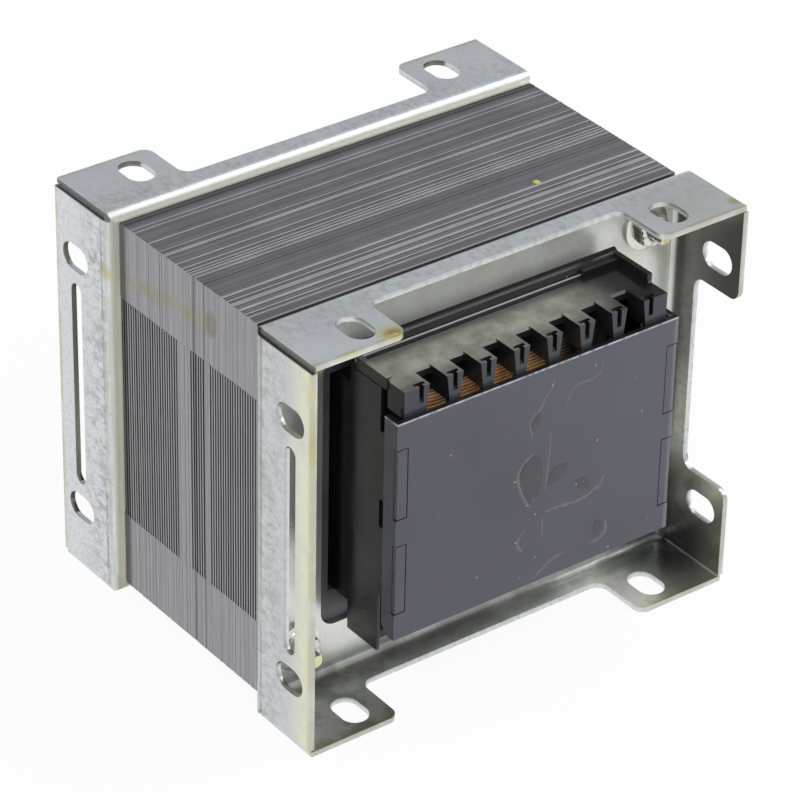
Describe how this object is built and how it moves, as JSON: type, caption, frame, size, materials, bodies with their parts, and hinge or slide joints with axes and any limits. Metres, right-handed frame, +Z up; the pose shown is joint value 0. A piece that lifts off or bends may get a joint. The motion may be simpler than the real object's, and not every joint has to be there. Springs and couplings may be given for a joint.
{
  "type": "chassis mount transformer",
  "caption": "Open-frame mains transformer: a laminated EI core clamped between two pressed end frames with slotted mounting ears, round a moulded bobbin with notched terminal combs.",
  "frame": {"origin": "on the floor below the middle of the stack", "axes": "+X to the right along the frames' long side, +Y to the rear along the clamp bolts, +Z up along the coil"},
  "size_m": [0.089, 0.0768, 0.0753],
  "materials": {
    "core_steel": "varnished silicon steel sheet edges",
    "zinc_plate": "bright zinc plate, satin",
    "black_nylon": "glossy moulded, varnished",
    "cover_plastic": "glossy moulded, varnished",
    "copper_wire": "enamelled copper wire",
    "film_tape": "polyester film tape",
    "bright_fastener": "zinc plated",
    "tinned_brass": "tinned"
  },
  "bodies": {
    "root": {"lamination_stack": "core_steel", "front_frame": "zinc_plate", "rear_frame": "zinc_plate", "bobbin": "black_nylon", "primary_winding": "copper_wire", "interwinding_insulation": "film_tape", "secondary_winding": "copper_wire", "front_cover": "cover_plastic", "rear_cover": "cover_plastic", "left_side_liner": "black_nylon", "right_side_liner": "black_nylon", "clamp_bolts": "bright_fastener", "clamp_nuts": "bright_fastener", "front_washers": "bright_fastener", "terminal_tags": "tinned_brass"}
  },
  "joints": []
}
